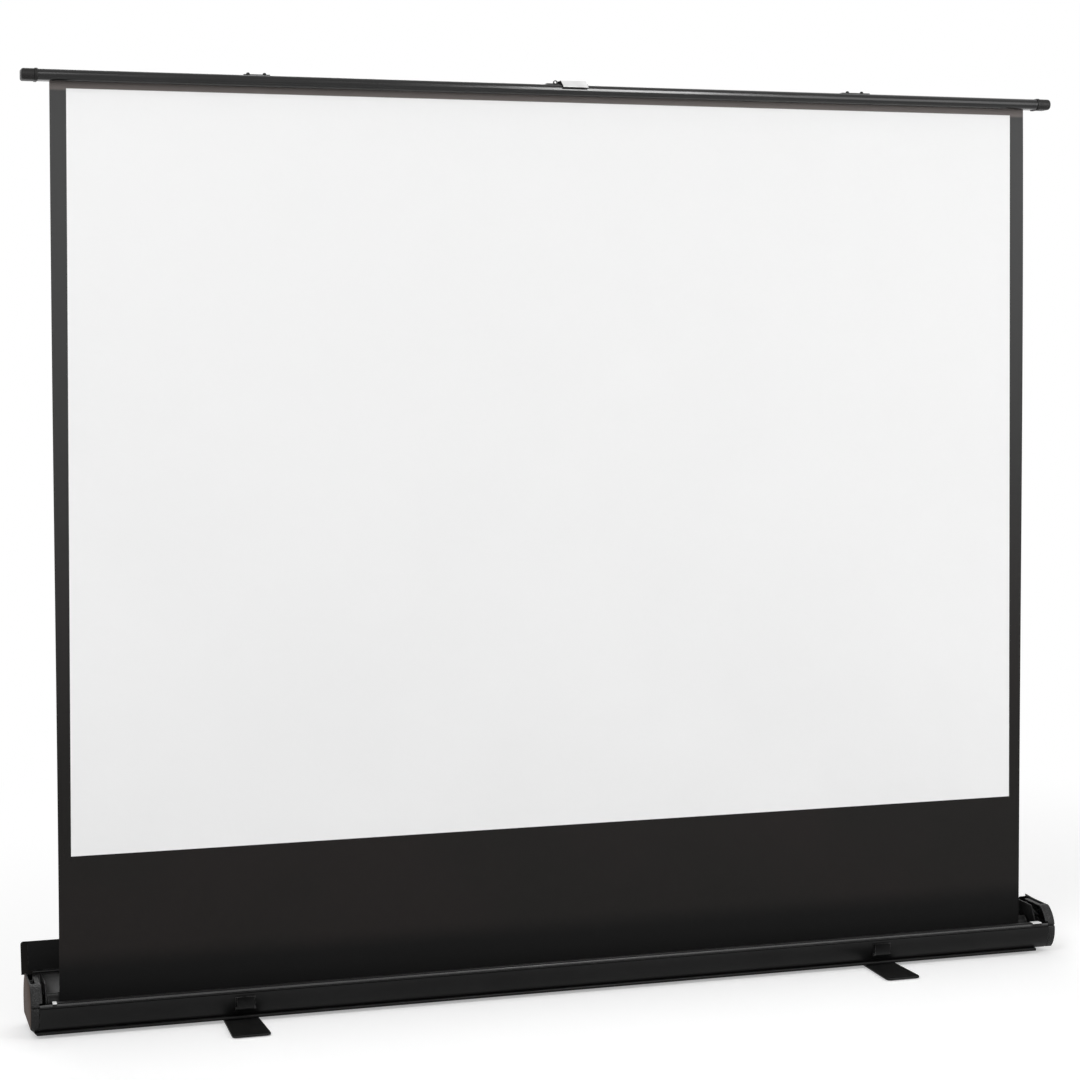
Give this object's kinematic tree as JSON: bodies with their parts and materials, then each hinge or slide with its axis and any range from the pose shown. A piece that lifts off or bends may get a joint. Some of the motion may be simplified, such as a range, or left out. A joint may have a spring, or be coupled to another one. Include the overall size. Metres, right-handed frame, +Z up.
{
  "type": "floor-standing projector screen",
  "caption": "Floor-standing projector screen: a white sheet with dark borders pulled up from a low case on swivel feet, held by a top bar on folding arms.",
  "frame": {"origin": "on the floor, at the middle of the object's footprint", "axes": "+Z up, +X along the case to the viewer's right, the white sheet faces -Y"},
  "size_m": [2.208, 0.378, 1.8881],
  "materials": {
    "case_coat": "satin",
    "bar_coat": "satin",
    "arm_coat": "satin",
    "moulding": "matte",
    "steel": "satin",
    "black_steel": "satin",
    "nylon": "satin",
    "rubber": "matte",
    "screen_cloth": "matte",
    "border_cloth": "matte",
    "plate": "satin"
  },
  "bodies": {
    "case": {"case_tray": "case_coat", "base_rail": "case_coat", "end_cap_left": "moulding", "end_cap_right": "moulding", "lip_glide_left": "nylon", "lip_glide_right": "nylon", "lip_guard": "case_coat", "foot_bolt_left": "steel", "foot_bolt_right": "steel", "latch_base_left": "black_steel", "latch_base_right": "black_steel", "roller_bracket_left": "black_steel", "roller_bracket_right": "black_steel", "idle_gudgeon": "steel", "spring_shaft": "steel", "roller_spring": "steel", "arm_bracket_left": "black_steel", "arm_bracket_right": "black_steel", "lift_spring_left": "steel", "lift_spring_right": "steel", "screen_fabric": "screen_cloth"},
    "left_lower_arm": {"lower_arm_left": "arm_coat", "elbow_pin_left": "steel"},
    "left_upper_arm": {"upper_arm_left": "arm_coat"},
    "bar": {"top_bar": "bar_coat", "bar_plug_left": "moulding", "bar_plug_right": "moulding", "bar_collar_left": "moulding", "bar_collar_right": "moulding", "top_bracket_left": "black_steel", "top_bracket_right": "black_steel", "grip_seat": "black_steel"},
    "right_lower_arm": {"lower_arm_right": "arm_coat", "elbow_pin_right": "steel"},
    "right_upper_arm": {"upper_arm_right": "arm_coat"},
    "grip_body": {"grip": "black_steel", "grip_plate": "plate"},
    "roller": {"roller_tube": "case_coat", "fabric_wraps": "border_cloth", "roller_plug_left": "moulding", "roller_plug_right": "moulding"},
    "lid": {"rear_lid": "case_coat", "lid_end_left": "moulding", "lid_end_right": "moulding"},
    "left_foot": {"foot_left": "black_steel", "foot_pad_front_left": "rubber", "foot_pad_back_left": "rubber"},
    "right_foot": {"foot_right": "black_steel", "foot_pad_front_right": "rubber", "foot_pad_back_right": "rubber"},
    "left_latch": {"latch_lever_left": "black_steel"},
    "right_latch": {"latch_lever_right": "black_steel"}
  },
  "joints": [
    {"name": "lift", "type": "hinge", "parent": "case", "child": "left_lower_arm", "pos_m": [-0.645, -0.0125, 0.0905], "axis": [0, 1, 0], "range_deg": [0, 46.8], "deforming": ["screen_fabric"]},
    {"name": "left_elbow", "type": "hinge", "parent": "left_lower_arm", "child": "left_upper_arm", "pos_m": [0.17514, -0.018, 0.9665], "axis": [0, 1, 0], "range_deg": [-93.8, 0]},
    {"name": "bar_pivot", "type": "hinge", "parent": "left_upper_arm", "child": "bar", "pos_m": [-0.645, -0.018, 1.8425], "axis": [0, 1, 0], "range_deg": [0, 46.9]},
    {"name": "right_lift", "type": "hinge", "parent": "case", "child": "right_lower_arm", "pos_m": [0.645, -0.0015, 0.0905], "axis": [0, 1, 0], "range_deg": [-46.9, 0]},
    {"name": "right_elbow", "type": "hinge", "parent": "right_lower_arm", "child": "right_upper_arm", "pos_m": [-0.17514, -0.007, 0.9665], "axis": [0, 1, 0], "range_deg": [0, 93.8]},
    {"name": "roller_spin", "type": "hinge", "parent": "case", "child": "roller", "pos_m": [0, -0.0047, 0.0545], "axis": [1, 0, 0], "range_deg": [0, 4600]},
    {"name": "lid_hinge", "type": "hinge", "parent": "case", "child": "lid", "pos_m": [0, 0.0635, 0.0998], "axis": [1, 0, 0], "range_deg": [0, 107]},
    {"name": "left_foot_swivel", "type": "hinge", "parent": "case", "child": "left_foot", "pos_m": [-0.69, 0, 0.0018], "axis": [0, 0, 1], "range_deg": [0, 90]},
    {"name": "right_foot_swivel", "type": "hinge", "parent": "case", "child": "right_foot", "pos_m": [0.69, 0, 0.0018], "axis": [0, 0, 1], "range_deg": [-90, 0]},
    {"name": "left_latch_hinge", "type": "hinge", "parent": "case", "child": "left_latch", "pos_m": [-0.685, -0.08352, 0.0315], "axis": [1, 0, 0], "range_deg": [0, 100]},
    {"name": "right_latch_hinge", "type": "hinge", "parent": "case", "child": "right_latch", "pos_m": [0.685, -0.08352, 0.0315], "axis": [1, 0, 0], "range_deg": [0, 100]},
    {"name": "grip_hinge", "type": "hinge", "parent": "bar", "child": "grip_body", "pos_m": [0, -0.0175, 1.8841], "axis": [1, 0, 0], "range_deg": [-100, 0]}
  ],
  "couplings": [
    {"joint": "left_elbow", "follows": "lift", "ratio": -2},
    {"joint": "bar_pivot", "follows": "lift", "ratio": 1},
    {"joint": "right_lift", "follows": "lift", "ratio": -1},
    {"joint": "right_elbow", "follows": "lift", "ratio": 2},
    {"joint": "roller_spin", "follows": "lift", "ratio": 96}
  ]
}
